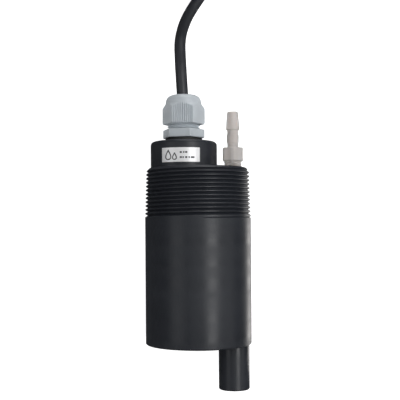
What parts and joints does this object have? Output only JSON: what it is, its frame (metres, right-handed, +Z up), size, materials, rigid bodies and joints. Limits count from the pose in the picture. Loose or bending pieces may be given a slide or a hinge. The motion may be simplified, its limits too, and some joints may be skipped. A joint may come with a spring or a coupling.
{
  "type": "self-cleaning water quality probe",
  "caption": "Cylindrical immersion probe with a taper pipe thread, offset cap and cable gland, hose barb, and a spray nozzle post beside its flat sensing face, with its cable in a hank.",
  "frame": {"origin": "on the surface that the probe lies on, under the middle of the probe's box, without its free cable", "axes": "+Y along the body towards the cable gland, +X towards the side of the hose barb, +Z up"},
  "size_m": [0.0752, 0.4131, 0.0603],
  "materials": {
    "black_pvc": "turned black PVC with faint tool marks",
    "black_acetal": "machined black acetal",
    "black_rubber": "moulded black rubber",
    "silver_label": "silver polyester sticker with plain dark print",
    "grey_nylon": "moulded light grey nylon",
    "natural_plastic": "natural milky polypropylene",
    "sapphire": "polished sapphire",
    "clear_epoxy": "clear moulded epoxy",
    "dark_epoxy": "dark moulded epoxy",
    "stainless": "fine turned stainless steel",
    "circuit_board": "green solder mask",
    "chip_package": "moulded chip package",
    "capacitor_can": "aluminium can",
    "green_plastic": "moulded terminal housing",
    "wire_insulation": "coloured wire insulation",
    "cable_jacket": "extruded dark grey cable jacket",
    "tie_plastic": "moulded nylon tie",
    "tinned_copper": "tinned copper"
  },
  "bodies": {
    "root": {"housing": "black_pvc", "cap": "black_pvc", "cap_o_ring": "black_rubber", "label": "silver_label", "gland_gasket": "black_rubber", "gland_body": "grey_nylon", "hose_barb": "natural_plastic", "spray_nozzle": "black_pvc", "nozzle_o_ring": "black_rubber", "optics_block": "black_acetal", "head_o_ring": "black_rubber", "retaining_ring": "black_acetal", "emitter_window": "sapphire", "detector_window": "sapphire", "window_seals": "black_rubber", "ir_emitter": "clear_epoxy", "photodiode": "dark_epoxy", "temperature_probe": "stainless", "main_board": "circuit_board", "board_rails": "black_acetal", "board_chips": "chip_package", "board_capacitors": "capacitor_can", "terminal_block": "green_plastic", "terminal_screws": "stainless", "conductors": "wire_insulation", "sensor_wires": "wire_insulation", "cable": "cable_jacket", "cable_hank": "cable_jacket", "hank_ties": "tie_plastic", "lead_wires": "wire_insulation", "ferrules": "tinned_copper"},
    "clamp": {"clamping_claw": "grey_nylon", "gland_seal": "black_rubber"},
    "nut": {"dome_nut": "grey_nylon"}
  },
  "joints": [
    {"name": "nut_advance", "type": "slide", "parent": "root", "child": "clamp", "axis": [0, 1, 0], "range_m": [0, 0.00495]},
    {"name": "nut_turn", "type": "hinge", "parent": "clamp", "child": "nut", "pos_m": [-0.00785, 0.075, 0.03016], "axis": [0, 1, 0], "range_deg": [0, 1260]}
  ],
  "couplings": [
    {"joint": "nut_advance", "follows": "nut_turn", "m_per_rad": 0.00022459}
  ]
}
